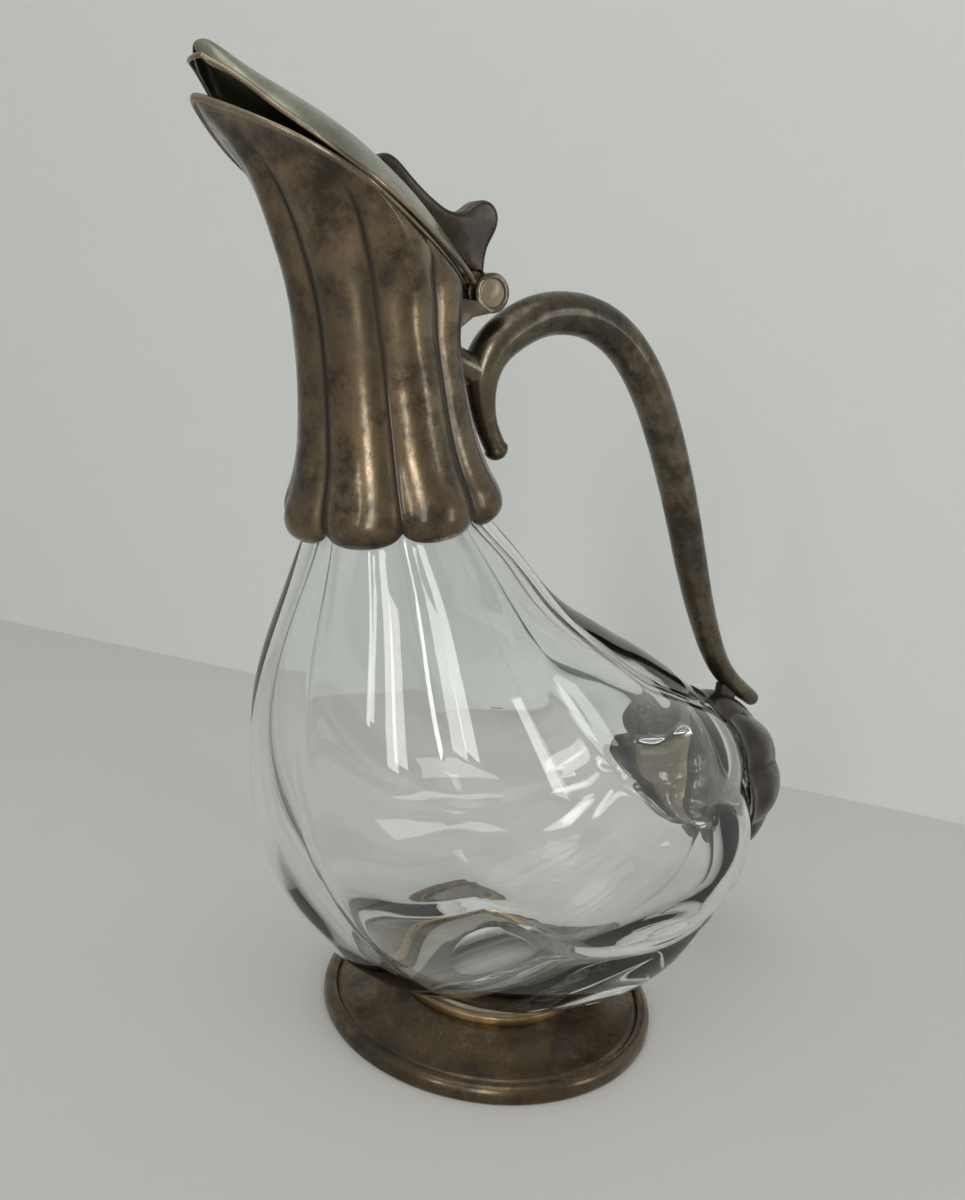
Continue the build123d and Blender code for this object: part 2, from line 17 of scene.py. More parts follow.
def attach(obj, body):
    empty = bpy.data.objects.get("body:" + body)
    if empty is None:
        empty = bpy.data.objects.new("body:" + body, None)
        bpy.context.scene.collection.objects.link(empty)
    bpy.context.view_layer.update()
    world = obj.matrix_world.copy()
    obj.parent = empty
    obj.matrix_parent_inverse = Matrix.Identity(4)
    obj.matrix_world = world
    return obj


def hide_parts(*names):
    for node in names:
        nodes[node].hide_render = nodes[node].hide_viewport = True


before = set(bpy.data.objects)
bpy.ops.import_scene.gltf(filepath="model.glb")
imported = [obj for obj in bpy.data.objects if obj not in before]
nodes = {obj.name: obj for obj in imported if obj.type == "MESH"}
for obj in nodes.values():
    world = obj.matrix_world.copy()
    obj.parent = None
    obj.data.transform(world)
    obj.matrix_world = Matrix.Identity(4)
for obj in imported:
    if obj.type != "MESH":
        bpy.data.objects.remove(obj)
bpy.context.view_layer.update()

# %% [markdown]
# Everything made here is an object that holds its data and is linked to the scene. The
# camera, the lamps, the stage and the pieces all start with this one helper.

# %% Place an object
def placed(name, data):
    """A new object that holds the data and is linked to the scene."""
    made = bpy.data.objects.new(name, data)
    bpy.context.scene.collection.objects.link(made)
    return made


# %% [markdown]
# ## Where the photograph was taken from
# The camera was found from the foot, which is a true circle on the table, so its
# ellipse in the picture gives the distance, the height and the tilt. The phone was
# held a little crooked, so the camera's right-hand side points slightly up.

# %% Camera
camera_place = Vector((-0.1843, -0.2446, 0.1990))
look = Vector((0.54655, 0.80847, -0.21830)).normalized()
right = Vector((0.83696, -0.53609, 0.11003)).normalized()
upward = right.cross(look)

camera_data = bpy.data.cameras.new("photo_camera")
camera_data.lens = 31.5
camera_data.sensor_width = 36.0
camera_data.clip_start = 0.01
camera = placed("photo_camera", camera_data)
turn = Matrix((right, upward, -look)).transposed().to_4x4()
camera.matrix_world = Matrix.Translation(camera_place) @ turn
bpy.context.scene.camera = camera
print("camera at", tuple(round(v, 4) for v in camera_place))

# %% [markdown]
# ## Building closed skins
# Glass, collar and cap are all swept shapes with eight flutes. Each is described by a
# few rows: a front point, a back point, a half width and how deep the creases are. A
# smooth curve runs through the rows, and a grid of points follows it. The rows keep
# close to those of the CAD model, so the shapes agree.

# %% Curves through rows
MM = 0.001
LOBES = 8
CREASE_SOFT = 0.14


def walk_along(points):
    """The distance walked from the first point to each of the points."""
    return np.concatenate([[0.0], np.cumsum(np.hypot(*np.diff(points, axis=0).T))])


def smooth_through(knots, values):
    """A natural cubic curve through values at knots; returns a function of the knot."""
    knots = np.asarray(knots, float)
    values = np.asarray(values, float)
    count = len(knots)
    step = np.diff(knots)
    matrix = np.zeros((count, count))
    target = np.zeros_like(values)
    matrix[0, 0] = matrix[-1, -1] = 1.0
    for i in range(1, count - 1):
        matrix[i, i - 1] = step[i - 1]
        matrix[i, i] = 2 * (step[i - 1] + step[i])
        matrix[i, i + 1] = step[i]
        rise_after = (values[i + 1] - values[i]) / step[i]
        rise_before = (values[i] - values[i - 1]) / step[i - 1]
        target[i] = 6 * (rise_after - rise_before)
    bend = np.linalg.solve(matrix, target)

    def at(place):
        place = np.asarray(place, float)
        i = np.clip(np.searchsorted(knots, place) - 1, 0, count - 2)
        a = (knots[i + 1] - place) / step[i]
        b = 1 - a
        curved = (a**3 - a)[..., None] * bend[i] + (b**3 - b)[..., None] * bend[i + 1]
        straight = a[..., None] * values[i] + b[..., None] * values[i + 1]
        return straight + curved * (step[i] ** 2)[..., None] / 6

    return at


def row(front, back, half, crease=0.0, nose=0.0, heel=0.0, widest=0.5):
    return [front[0], front[1], back[0], back[1], half, crease, nose, heel, widest]


def walked(rows):
    """Knots for rows: the mean distance walked by the front, back and side points."""
    table = np.array(rows, float)
    front = np.hypot(*np.diff(table[:, 0:2], axis=0).T)
    back = np.hypot(*np.diff(table[:, 2:4], axis=0).T)
    return np.concatenate([[0.0], np.cumsum((front + back) / 2 + 0.3)])


def lobe_share(angles, soft=CREASE_SOFT):
    """0 on the crest of a lobe, 1 in the crease between two, with a soft floor."""
    u = np.abs((angles * LOBES / math.tau + 0.5) % 1.0 - 0.5) * 2
    edge = 1 - soft
    over = np.clip(u - edge, 0, None)
    dip = np.where(u < edge, u**2, edge**2 + 2 * edge * over - edge / soft * over**2)
    return u, dip / edge


def lobed_points(table, angles, inset=0.0, soft=CREASE_SOFT):
    """Points of the swept shape, in metres, for rows of numbers and angles round them."""
    fx, fz, bx, bz, half, crease, nose, heel, widest = np.moveaxis(table, -1, 0)
    ox = fx + (bx - fx) * widest
    oz = fz + (bz - fz) * widest
    total = np.hypot(fx - bx, fz - bz)
    dx = (fx - ox) / np.hypot(fx - ox, fz - oz)
    dz = (fz - oz) / np.hypot(fx - ox, fz - oz)
    c = np.cos(angles)
    share = 1 - np.maximum(crease, 0) * lobe_share(angles, soft)[1]
    reach = np.where(c > 0, total * widest, total * (1 - widest)) - inset
    narrow = 1 - nose * np.clip(c, 0, None) ** 2.5 - heel * np.clip(-c, 0, None)
    forward = c * reach * share
    side = np.sin(angles) * (half - inset) * share * narrow
    points = np.stack([ox + dx * forward, side, oz + dz * forward], axis=-1)
    return points * MM


print("at half way:", smooth_through([0, 1, 2], [[0.0], [1.0], [0.0]])(0.5))

# %% [markdown]
# A closed shell needs an outer skin, an inner skin that faces the other way, and a lip
# that joins them at each open end. Where a skin comes to a point, a fan of triangles
# closes it. The faces of every finished piece point outwards: its enclosed volume says
# whether they do, and a piece with a volume below zero is turned inside out.

# %% Grid to mesh
def mesh_piece(name, points, faces, masks=None):
    data = bpy.data.meshes.new(name)
    data.from_pydata([tuple(p) for p in points], [], faces)
    data.validate()
    data.shade_smooth()
    for key, values in (masks or {}).items():
        layer = data.attributes.new(key, "FLOAT", "POINT")
        layer.data.foreach_set("value", np.asarray(values, np.float32).ravel())
    return outward_piece(name, data)


def enclosed_volume(data):
    """Below zero when the faces of a closed skin point inwards."""
    data.calc_loop_triangles()
    corners = np.empty(len(data.loop_triangles) * 3, np.int32)
    data.loop_triangles.foreach_get("vertices", corners)
    places = np.empty(len(data.vertices) * 3)
    data.vertices.foreach_get("co", places)
    a, b, c = places.reshape(-1, 3)[corners.reshape(-1, 3)].transpose(1, 0, 2)
    return float(np.einsum("ij,ij->i", a, np.cross(b, c)).sum() / 6)


def outward_piece(name, data):
    if enclosed_volume(data) < 0:
        data.flip_normals()
    return placed(name, data)


def dress(piece, body, node, material):
    """A finished piece stands for a CAD node, rides on its body and has one finish."""
    piece.data.materials.clear()
    piece.data.materials.append(material)
    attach(piece, body)
    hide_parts(node)
    volume = round(enclosed_volume(piece.data) / MM**3)
    print(piece.name, len(piece.data.polygons), "faces, volume", volume, "mm3")


def band_faces(lower, upper, around, flip=False):
    """Quads between two rings that start at the point numbers lower and upper."""
    faces = []
    for k in range(around):
        m = (k + 1) % around
        quad = (lower + k, lower + m, upper + m, upper + k)
        faces.append(quad[::-1] if flip else quad)
    return faces


def shell(name, rings, masks=None, poles=None):
    """One closed skin through a list of rings, with a fan to each pole if there are any."""
    count, around = rings.shape[0], rings.shape[1]
    points = list(rings.reshape(-1, 3))
    faces = []
    last_ring = (count - 1) * around
    for i in range(count - 1):
        faces += band_faces(i * around, (i + 1) * around, around)
    if poles is None:
        faces += band_faces(last_ring, 0, around)
    else:
        first = len(points)
        points += poles
        for k in range(around):
            m = (k + 1) % around
            faces.append((first, m, k))
            faces.append((first + 1, last_ring + k, last_ring + m))
    full = {}
    for key, values in (masks or {}).items():
        full[key] = np.concatenate([values.ravel(), np.zeros(len(poles or []))])
    return mesh_piece(name, points, faces, full)


# %% [markdown]
# ## The stage
# The jug stands on a plain pale floor in front of a plain pale wall. Glass shows what
# is behind and around it, so the wall stands close behind the jug and at a slant. The
# light comes from a tall window and a narrow one on the left, a weaker one on the right
# and a soft ceiling.

# %% Floor and wall
def plain_paint(name, colour, rough=0.8):
    paint = bpy.data.materials.new(name)
    paint.use_nodes = True
    shader = paint.node_tree.nodes["Principled BSDF"]
    shader.inputs["Base Color"].default_value = (*colour, 1)
    shader.inputs["Roughness"].default_value = rough
    return paint


def flat_sheet(name, corners, material):
    data = bpy.data.meshes.new(name)
    data.from_pydata(corners, [], [(0, 1, 2, 3)])
    data.materials.append(material)
    placed(name, data)


wall_point = Vector((0.1421, 0.2247, 0.0))
wall_run = Vector((0.6370, -0.7709, 0.0)).normalized()
wall_half = 2.5
wall_top = 2.2
floor_half = 3.0
floor_paint = plain_paint("floor_paint", (0.55, 0.535, 0.505))
wall_paint = plain_paint("wall_paint", (0.62, 0.635, 0.62))
flat_sheet(
    "floor",
    [(-floor_half, -floor_half, 0), (floor_half, -floor_half, 0),
     (floor_half, floor_half, 0), (-floor_half, floor_half, 0)],
    floor_paint,
)
left_end = wall_point - wall_run * wall_half
right_end = wall_point + wall_run * wall_half
flat_sheet(
    "wall",
    [tuple(left_end), tuple(right_end),
     (right_end.x, right_end.y, wall_top), (left_end.x, left_end.y, wall_top)],
    wall_paint,
)


# %% Lights
def window_light(name, place, target, size, power, colour):
    """A rectangle of light, in metres and watts, that faces a target."""
    data = bpy.data.lights.new(name, "AREA")
    data.shape = "RECTANGLE"
    data.size, data.size_y = size
    data.energy = power
    data.color = colour
    lamp = placed(name, data)
    lamp.location = place
    aim = Vector(target) - Vector(place)
    lamp.rotation_euler = aim.to_track_quat("-Z", "Y").to_euler()


window_light("tall_window", (-0.92, -1.38, 0.56), (-0.04, -0.03, 0.13), (0.36, 1.05), 9.0, (1.0, 0.99, 0.97))
window_light("slit_window", (-1.50, -0.85, 0.62), (-0.05, 0, 0.13), (0.14, 0.7), 2.6, (1.0, 1.0, 1.0))
window_light("side_window", (0.85, -1.20, 0.50), (0, 0, 0.12), (0.30, 0.7), 2.6, (0.97, 0.99, 1.0))
window_light("ceiling", (-0.4, -0.5, 1.7), (0, 0, 0.1), (1.2, 1.2), 6.0, (1.0, 0.99, 0.97))

# %% [markdown]
# Materials and the room's light are node trees. These helpers add a node, set what is
# fixed and link what varies, so that the trees below read like sums.

# %% Node helpers
def new_group(name, inputs, outputs):
    group = bpy.data.node_groups.new(name, "ShaderNodeTree")
    for label, kind, value in inputs:
        socket = group.interface.new_socket(label, in_out="INPUT", socket_type=kind)
        socket.default_value = value
    for label, kind in outputs:
        group.interface.new_socket(label, in_out="OUTPUT", socket_type=kind)
    return group


def node(tree, kind, **settings):
    made = tree.nodes.new(kind)
    for key, value in settings.items():
        setattr(made, key, value)
    return made


def noise(tree, place, scale, detail=4.0, rough=0.55, stretch=None):
    texture = node(tree, "ShaderNodeTexNoise")
    texture.inputs["Scale"].default_value = scale
    texture.inputs["Detail"].default_value = detail
    texture.inputs["Roughness"].default_value = rough
    if stretch is None:
        tree.links.new(place, texture.inputs["Vector"])
    else:
        mapping = node(tree, "ShaderNodeMapping")
        mapping.inputs["Scale"].default_value = stretch
        tree.links.new(place, mapping.inputs["Vector"])
        tree.links.new(mapping.outputs["Vector"], texture.inputs["Vector"])
    return texture.outputs["Fac"]


def remap(tree, value, low, high, out_low=0.0, out_high=1.0):
    ramp = node(tree, "ShaderNodeMapRange", clamp=True)
    tree.links.new(value, ramp.inputs["Value"])
    ramp.inputs["From Min"].default_value = low
    ramp.inputs["From Max"].default_value = high
    ramp.inputs["To Min"].default_value = out_low
    ramp.inputs["To Max"].default_value = out_high
    return ramp.outputs["Result"]


def maths(tree, kind, one, two):
    made = node(tree, "ShaderNodeMath", operation=kind)
    for index, value in enumerate((one, two)):
        if isinstance(value, (int, float)):
            made.inputs[index].default_value = value
        else:
            tree.links.new(value, made.inputs[index])
    return made.outputs[0]


def blend_colour(tree, share, one, two):
    made = node(tree, "ShaderNodeMix", data_type="RGBA")
    tree.links.new(share, made.inputs["Factor"])
    for label, value in (("A", one), ("B", two)):
        socket = [s for s in made.inputs if s.name == label and s.type == "RGBA"][0]
        if isinstance(value, tuple):
            socket.default_value = (*value, 1)
        else:
            tree.links.new(value, socket)
    return [s for s in made.outputs if s.type == "RGBA"][0]


# %% [markdown]
# The room around is brighter above than below, and a little darker behind the camera,
# so the metal has something dark to reflect.

# %% Room
world = bpy.data.worlds.new("room")
bpy.context.scene.world = world
world.use_nodes = True
room = world.node_tree
sky = room.nodes["Background"]
ways = node(room, "ShaderNodeSeparateXYZ")
room.links.new(node(room, "ShaderNodeTexCoord").outputs["Generated"], ways.inputs["Vector"])
by_depth = remap(room, ways.outputs["Y"], -0.9, 0.7, 0.34, 0.60)
by_height = remap(room, ways.outputs["Z"], 0.0, 1.0, 0.8, 1.5)
sky.inputs["Color"].default_value = (0.95, 0.97, 0.97, 1)
room.links.new(maths(room, "MULTIPLY", by_depth, by_height), sky.inputs["Strength"])
bpy.context.scene.view_settings.view_transform = "Standard"

# %% [markdown]
# ## Tarnished silver plate
# Old silver plate isn't one colour. It is grey-brown where it was handled, slightly green where it was left
# alone, and dotted with small pits. Shade is painted nearly black into the creases. One node group makes
# this from noises at several scales and from a mask of painted shade that says how deep in a crease a point
# lies. Each fitting gets its own values. A thin clear coat over the metal gives the crisp white glints of
# old lacquer.

# %% Tarnish node group
tarnish = new_group(
    "tarnish",
    [("Tone", "NodeSocketColor", (0.12, 0.09, 0.05, 1)),
     ("Dark", "NodeSocketColor", (0.022, 0.016, 0.011, 1)),
     ("Bright", "NodeSocketColor", (0.24, 0.185, 0.115, 1)),
     ("Green", "NodeSocketColor", (0.085, 0.095, 0.062, 1)),
     ("Green amount", "NodeSocketFloat", 0.5),
     ("Age", "NodeSocketFloat", 0.5),
     ("Base roughness", "NodeSocketFloat", 0.26),
     ("Pit depth", "NodeSocketFloat", 0.5)],
    [("Color", "NodeSocketColor"), ("Roughness", "NodeSocketFloat"), ("Height", "NodeSocketFloat")],
)
tree = tarnish
given = node(tree, "NodeGroupInput")
place = node(tree, "ShaderNodeTexCoord").outputs["Object"]
# Painted shade: this mask darkens the metal in the creases towards the Dark colour.
crease_shade = node(tree, "ShaderNodeAttribute", attribute_name="crease_shade").outputs["Fac"]
broad = noise(tree, place, 30.0, 6.0, 0.66)
cloud = noise(tree, place, 85.0, 8.0, 0.72)
grain = noise(tree, place, 620.0, 4.0, 0.6)
green_patch = noise(tree, place, 38.0, 5.0, 0.7, (1.0, 1.3, 0.8))
wipe = noise(tree, place, 60.0, 3.0, 0.5, (14.0, 14.0, 0.9))

spots = node(tree, "ShaderNodeTexVoronoi", feature="F1")
spots.inputs["Scale"].default_value = 330.0
spots.inputs["Randomness"].default_value = 1.0
tree.links.new(place, spots.inputs["Vector"])
near_spot = remap(tree, spots.outputs["Distance"], 0.10, 0.22, 1.0, 0.0)
where_spots = remap(tree, cloud, 0.50, 0.60)
pits = maths(tree, "MULTIPLY", near_spot, where_spots)

worn = remap(tree, broad, 0.40, 0.62)
patches = remap(tree, cloud, 0.44, 0.62)
aged = maths(tree, "MULTIPLY", patches, given.outputs["Age"])
# The dark share mixes real tarnish patches and pits with shade painted into the creases.
in_crease_shade = remap(tree, crease_shade, 0.25, 0.85)
tarnish_and_crease_shade = maths(tree, "MAXIMUM", aged, maths(tree, "MULTIPLY", in_crease_shade, 0.95))
tarnish_and_crease_shade = maths(tree, "MAXIMUM", tarnish_and_crease_shade, maths(tree, "MULTIPLY", pits, 0.9))
green_share = maths(tree, "MULTIPLY", remap(tree, green_patch, 0.50, 0.66), given.outputs["Green amount"])
lighter = blend_colour(tree, worn, given.outputs["Tone"], given.outputs["Bright"])
greened = blend_colour(tree, green_share, lighter, given.outputs["Green"])
final_colour = blend_colour(tree, tarnish_and_crease_shade, greened, given.outputs["Dark"])
rough = maths(tree, "ADD", given.outputs["Base roughness"], maths(tree, "MULTIPLY", tarnish_and_crease_shade, 0.26))
rough = maths(tree, "SUBTRACT", rough, maths(tree, "MULTIPLY", worn, 0.07))
rough = maths(tree, "ADD", rough, maths(tree, "MULTIPLY", remap(tree, wipe, 0.4, 0.7), 0.07))
height = maths(tree, "MULTIPLY", pits, -1.0)
height = maths(tree, "MULTIPLY", height, given.outputs["Pit depth"])
height = maths(tree, "ADD", height, maths(tree, "MULTIPLY", grain, 0.16))
height = maths(tree, "ADD", height, maths(tree, "MULTIPLY", wipe, 0.07))
height = maths(tree, "ADD", height, maths(tree, "MULTIPLY", cloud, 0.25))
out = node(tree, "NodeGroupOutput")
tree.links.new(final_colour, out.inputs["Color"])
tree.links.new(rough, out.inputs["Roughness"])
tree.links.new(height, out.inputs["Height"])


WORN_BRIGHTER = 1.9


def silver(name, tone, green, age, base_rough=0.26, coat=0.45):
    """A plated finish: its tone, how green and how aged it is, its polish and its coat."""
    material = bpy.data.materials.new(name)
    material.use_nodes = True
    tree = material.node_tree
    shader = tree.nodes["Principled BSDF"]
    shader.inputs["Metallic"].default_value = 0.92
    shader.inputs["Coat Weight"].default_value = coat
    shader.inputs["Coat Roughness"].default_value = 0.13
    finish = node(tree, "ShaderNodeGroup", node_tree=tarnish)
    finish.inputs["Tone"].default_value = (*tone, 1)
    finish.inputs["Bright"].default_value = (*(WORN_BRIGHTER * c for c in tone), 1)
    finish.inputs["Green amount"].default_value = green
    finish.inputs["Age"].default_value = age
    finish.inputs["Base roughness"].default_value = base_rough
    bumps = node(tree, "ShaderNodeBump")
    bumps.inputs["Strength"].default_value = 0.5
    bumps.inputs["Distance"].default_value = 0.00025
    tree.links.new(finish.outputs["Color"], shader.inputs["Base Color"])
    tree.links.new(finish.outputs["Roughness"], shader.inputs["Roughness"])
    tree.links.new(finish.outputs["Height"], bumps.inputs["Height"])
    tree.links.new(bumps.outputs["Normal"], shader.inputs["Normal"])
    return material


collar_silver = silver("collar_silver", (0.114, 0.082, 0.046), 0.35, 0.85)
rim_silver = silver("rim_silver", (0.17, 0.135, 0.09), 0.1, 0.3)
lid_silver = silver("lid_silver", (0.17, 0.175, 0.125), 0.5, 0.3, base_rough=0.36)
thumb_silver = silver("thumb_silver", (0.034, 0.025, 0.017), 0.2, 0.5, base_rough=0.38, coat=0.2)
handle_silver = silver("handle_silver", (0.082, 0.065, 0.041), 0.45, 0.85, base_rough=0.30)
foot_silver = silver("foot_silver", (0.082, 0.054, 0.026), 0.15, 0.8, base_rough=0.28)
cap_silver = silver("cap_silver", (0.042, 0.035, 0.027), 0.1, 0.6, base_rough=0.3)
hinge_silver = silver("hinge_silver", (0.10, 0.078, 0.05), 0.2, 0.4)
plug_silver = silver("plug_silver", (0.22, 0.18, 0.12), 0.2, 0.2, base_rough=0.42)
brass_ring = silver("brass_ring", (0.30, 0.20, 0.085), 0.1, 0.4, base_rough=0.3)
cap_lining = silver("cap_lining", (0.50, 0.41, 0.27), 0.0, 0.2, base_rough=0.34)

# %% [markdown]
# ## Clear glass
# The glass is thick and clear, with the faintest grey-green. It has slow waves from
# being blown in a mould, and a little grease from hands, which only shows as a
# change of roughness. Its shadow would be black in a renderer that doesn't follow
# light through glass, so shadow rays pass through it.

# %% Glass material
def clear_glass():
    material = bpy.data.materials.new("clear_glass")
    material.use_nodes = True
    tree = material.node_tree
    shader = tree.nodes["Principled BSDF"]
    shader.inputs["Base Color"].default_value = (0.975, 0.985, 0.98, 1)
    shader.inputs["Transmission Weight"].default_value = 1.0
    shader.inputs["IOR"].default_value = 1.51
    place = node(tree, "ShaderNodeTexCoord").outputs["Object"]
    smear = noise(tree, place, 55.0, 5.0, 0.65, (1.0, 1.0, 0.45))
    tree.links.new(remap(tree, smear, 0.52, 0.75, 0.0, 0.02), shader.inputs["Roughness"])
    waves = noise(tree, place, 32.0, 2.0, 0.4, (1.0, 1.0, 0.55))
    bumps = node(tree, "ShaderNodeBump")
    bumps.inputs["Strength"].default_value = 0.25
    bumps.inputs["Distance"].default_value = 0.0008
    tree.links.new(waves, bumps.inputs["Height"])
    tree.links.new(bumps.outputs["Normal"], shader.inputs["Normal"])
    shadow = node(tree, "ShaderNodeBsdfTransparent")
    shadow.inputs["Color"].default_value = (0.86, 0.88, 0.87, 1)
    path = node(tree, "ShaderNodeLightPath")
    mix = node(tree, "ShaderNodeMixShader")
    output = tree.nodes["Material Output"]
    tree.links.new(path.outputs["Is Shadow Ray"], mix.inputs["Fac"])
    tree.links.new(shader.outputs["BSDF"], mix.inputs[1])
    tree.links.new(shadow.outputs["BSDF"], mix.inputs[2])
    tree.links.new(mix.outputs["Shader"], output.inputs["Surface"])
    return material


glass = clear_glass()

# %% Plaster
def plaster(name, colour):
    material = bpy.data.materials.new(name)
    material.use_nodes = True
    tree = material.node_tree
    shader = tree.nodes["Principled BSDF"]
    place = node(tree, "ShaderNodeTexCoord").outputs["Object"]
    crumbs = noise(tree, place, 180.0, 6.0, 0.7)
    stain = noise(tree, place, 30.0, 4.0, 0.6)
    base = blend_colour(tree, remap(tree, stain, 0.4, 0.62), colour, tuple(0.55 * c for c in colour))
    tree.links.new(base, shader.inputs["Base Color"])
    tree.links.new(remap(tree, crumbs, 0.3, 0.7, 0.75, 0.95), shader.inputs["Roughness"])
    bumps = node(tree, "ShaderNodeBump")
    bumps.inputs["Distance"].default_value = 0.0004
    tree.links.new(crumbs, bumps.inputs["Height"])
    tree.links.new(bumps.outputs["Normal"], shader.inputs["Normal"])
    return material


bedding = plaster("bedding", (0.42, 0.39, 0.32))

# %% [markdown]
# ## The glass body
# The outside has eight flutes that start at the neck and gather again at the tail. The
# inside follows them more softly, so the wall is thinner in each crease than on each
# crest, and that is what bends the light into bright and dark lines. The outside is cut
# flat where it stands on the foot.

# %% Glass body rows
NECK = dict(lean=math.radians(12.0), x=-51.3, z=160.6)
TAIL = dict(rise=math.radians(5.0), x=78.2, z=67.7)
tail_way = np.array((math.cos(TAIL["rise"]), 0, math.sin(TAIL["rise"])))
tail_start = np.array((TAIL["x"], 0, TAIL["z"]))
tail_radius = 28.2
outside_end = 22.5
inside_end = 9.5
glass_base = 10.0
glass_floor = 4.2
wall = 2.8


def neck_point(height, across=0.0):
    x = NECK["x"] - height * math.sin(NECK["lean"]) + across * math.cos(NECK["lean"])
    z = NECK["z"] + height * math.cos(NECK["lean"]) + across * math.sin(NECK["lean"])
    return (x, z)


def neck_row(height, radius, crease):
    return row(neck_point(height, -radius), neck_point(height, radius), radius, crease)


def tail_row(along, radius, crease):
    rise = TAIL["rise"]
    x = TAIL["x"] + along * math.cos(rise)
    z = TAIL["z"] + along * math.sin(rise)
    front = (x + radius * math.sin(rise), z - radius * math.cos(rise))
    back = (x - radius * math.sin(rise), z + radius * math.cos(rise))
    return row(front, back, radius, crease)


body_rows = [
    ((-77.6, 135.7), (-14.7, 151.8), 32.0),
    ((-82.3, 116.0), (-3.0, 140.7), 41.0),
    ((-84.8, 94.5), (7.0, 133.2), 48.6),
    ((-80.8, 67.6), (15.5, 128.8), 54.8),
    ((-66.2, 39.8), (22.8, 125.3), 58.4),
    ((-39.4, 16.0), (29.5, 122.0), 59.8),
    ((-6.0, 4.6), (36.6, 118.8), 59.4),
    ((23.0, 4.4), (44.2, 115.0), 57.2),
    ((46.0, 11.4), (52.6, 110.6), 51.8),
    ((63.8, 23.0), (61.6, 105.2), 42.4),
]
outside_rows = [
    neck_row(42.0, 15.6, 0.006),
    neck_row(30.0, 16.0, 0.01),
    neck_row(15.0, 17.2, 0.02),
    neck_row(7.0, 19.6, 0.04),
    neck_row(-1.0, 23.0, 0.06),
]
outside_rows += [row(front, back, half, 0.075) for front, back, half in body_rows]
for along, share in ((0.0, 1.0), (8.0, 0.94), (15.0, 0.80), (20.0, 0.56)):
    outside_rows.append(tail_row(along, tail_radius * share, 0.07))
outside_rows.append(tail_row(outside_end, tail_radius * 0.30, 0.04))

inside_rows = [
    neck_row(44.0, 12.8, 0.006),
    neck_row(30.0, 13.2, 0.01),
    neck_row(15.0, 14.2, 0.02),
    neck_row(7.0, 16.6, 0.03),
    neck_row(-1.0, 19.8, 0.05),
]
for front, back, half in body_rows:
    length = math.hypot(front[0] - back[0], front[1] - back[1])
    ux, uz = (back[0] - front[0]) / length, (back[1] - front[1]) / length
    raised = max(wall, (glass_base + glass_floor - front[1]) / max(uz, 0.2))
    inner_front = (front[0] + ux * raised, front[1] + uz * raised)
    inner_back = (back[0] - ux * wall, back[1] - uz * wall)
    inside_rows.append(row(inner_front, inner_back, half - wall, 0.06))
inside_rows += [
    tail_row(-3.0, tail_radius - wall, 0.07),
    tail_row(3.0, tail_radius * 0.78, 0.07),
    tail_row(8.0, tail_radius * 0.52, 0.04),
    tail_row(10.5, tail_radius * 0.20, 0.0),
]

# %% Glass body mesh
around = LOBES * 22
angles = np.arange(around) * math.tau / around


def skin_points(rows, along):
    knots = walked(rows)
    curve = smooth_through(knots, rows)
    places = np.linspace(knots[0], knots[-1], along)
    table = curve(places)[:, None, :] + np.zeros((1, len(angles), 1))
    return lobed_points(table, angles[None, :])


outer = skin_points(outside_rows, 190)
outer[..., 2] = np.maximum(outer[..., 2], glass_base * MM)
inner = skin_points(inside_rows, 150)

# The blunt tail has shallow pressed rings with a fine star across them.
press_depth = 0.5
ring_depth = 0.35
ring_waves = 5.5
star_depth = 0.18
star_points = 16
tail_end = (tail_start + tail_way * outside_end) * MM
ripples = []
for share in np.linspace(0.94, 0.06, 16):
    ring = tail_end + (outer[-1] - tail_end) * share
    wave = ring_depth * math.cos(share * ring_waves * math.tau) + star_depth * np.cos(angles * star_points)
    ripples.append(ring + np.outer((wave - press_depth) * MM, tail_way))
outer = np.concatenate([outer, np.array(ripples)])

poles = [tail_end - tail_way * press_depth * MM, (tail_start + tail_way * inside_end) * MM]
ring_count = len(outer)
inner_count = len(inner)
points = np.concatenate([outer.reshape(-1, 3), inner.reshape(-1, 3), poles])
faces = []
for i in range(ring_count - 1):
    faces += band_faces(i * around, (i + 1) * around, around)
offset = ring_count * around
for i in range(inner_count - 1):
    faces += band_faces(offset + i * around, offset + (i + 1) * around, around, flip=True)
faces += band_faces(offset, 0, around)
outer_pole = offset + inner_count * around
inner_pole = outer_pole + 1
for k in range(around):
    m = (k + 1) % around
    outer_last = (ring_count - 1) * around
    faces.append((outer_pole, outer_last + k, outer_last + m))
    inner_last = offset + (inner_count - 1) * around
    faces.append((inner_pole, inner_last + m, inner_last + k))
glass_piece = mesh_piece("fluted_glass", points, faces)
dress(glass_piece, "vessel", "glass_body", glass)

# %% [markdown]
# ## The collar and spout
# A smith raised this from sheet. Eight lobes start as rounded scallops over the glass,
# close in at the waist and melt into a smooth beak. The rings of the skin therefore
# start at a height that changes with the angle, so that the lower edge is scalloped,
# and the edge is rolled over to the inside.

# %% Skins with a scalloped edge
# These set the mask of painted shade in the creases: where across a lobe it starts, and at what crease depth
# it is full.
CREASE_SHADE_START = 0.74
CREASE_SHADE_FULL = 0.07
LIP_STEPS = 5


def scalloped_skin(rows, depth, ring_count, inset, soft):
    """Rings from a scalloped start to the last row, and a mask of painted shade for the creases."""
    knots = walked(rows)
    curve = smooth_through(knots, rows)
    u = lobe_share(angles)[0]
    starts = depth * u**3.0
    places = starts + (knots[-1] - starts) * (np.linspace(0, 1, ring_count)[:, None] ** 1.15)
    rings = lobed_points(curve(places), angles[None, :], inset, soft)
    crease = curve(places)[..., 5]
    deep = np.clip(crease / CREASE_SHADE_FULL, 0, 1)
    # The mask says where shade is painted into the creases.
    mask = np.clip((u[None, :] - CREASE_SHADE_START) / (1 - CREASE_SHADE_START), 0, 1) ** 1.3 * deep
    return rings, mask


